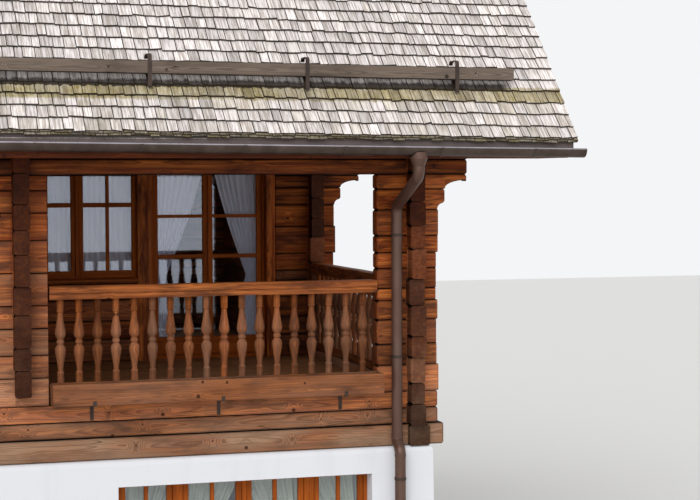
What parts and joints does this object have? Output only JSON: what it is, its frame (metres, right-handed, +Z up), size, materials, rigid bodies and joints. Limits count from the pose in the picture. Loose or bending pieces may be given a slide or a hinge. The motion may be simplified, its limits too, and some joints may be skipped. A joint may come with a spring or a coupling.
{
  "type": "alpine chalet",
  "caption": "Two-storey alpine chalet: rendered ground floor, interlocked log upper storey with corner loggias and a steep shingled roof.",
  "frame": {"origin": "on the ground under the middle of the house", "axes": "+X along the ridge, to the right of the front; +Y to the rear; +Z up"},
  "size_m": [13.476, 9.6146, 10.7804],
  "materials": {
    "render": "matt lime render, slightly rough",
    "log_face": "weathered spruce, brushed matt",
    "log_end": "dark end grain, matt",
    "roof_timber": "planed spruce, matt",
    "floor_wood": "planed boards, matt",
    "shingle": "weathered grey larch, rough",
    "weathered_wood": "weathered grey timber, rough",
    "rail_wood": "stained spruce, satin",
    "joinery": "stained and oiled, satin",
    "sheet_metal": "brown painted steel, satin",
    "iron": "forged and painted, matt",
    "glass": "clear float glass",
    "curtain": "sheer white voile",
    "concrete": "smooth screed"
  },
  "bodies": {
    "root": {"masonry_front": "render", "masonry_rear": "render", "masonry_sides": "render", "ground_slab": "concrete", "floor_joists": "roof_timber", "upper_floor": "floor_wood", "attic_floor": "floor_wood", "sill_logs": "log_face", "middle_wall_front": "log_face", "corner_piers": "log_face", "loggia_back_walls": "log_face", "partition_walls": "log_end", "log_wall_rear": "log_face", "gable_wall_left": "log_end", "gable_wall_right": "log_end", "eave_logs": "log_face", "purlins": "roof_timber", "rafters": "roof_timber", "roof_boards": "roof_timber", "shingles_front": "shingle", "shingles_rear": "shingle", "ridge_boards": "weathered_wood", "barge_boards": "joinery", "fascia_boards": "joinery", "soffits": "roof_timber", "eave_flashing": "sheet_metal", "gutters": "sheet_metal", "gutter_brackets": "sheet_metal", "downpipes": "sheet_metal", "pipe_clips": "sheet_metal", "snow_guards": "weathered_wood", "snow_hooks": "iron", "handrails": "rail_wood", "balusters": "rail_wood", "flower_troughs": "joinery", "trough_brackets": "iron", "loggia_windows": "joinery", "french_doors": "joinery", "wall_windows": "joinery", "ground_windows": "joinery", "entrance_door": "joinery", "upper_glass": "glass", "ground_glass": "glass", "curtain_tracks": "joinery", "loggia_curtains": "curtain", "ribbon_curtains": "curtain"}
  },
  "joints": []
}
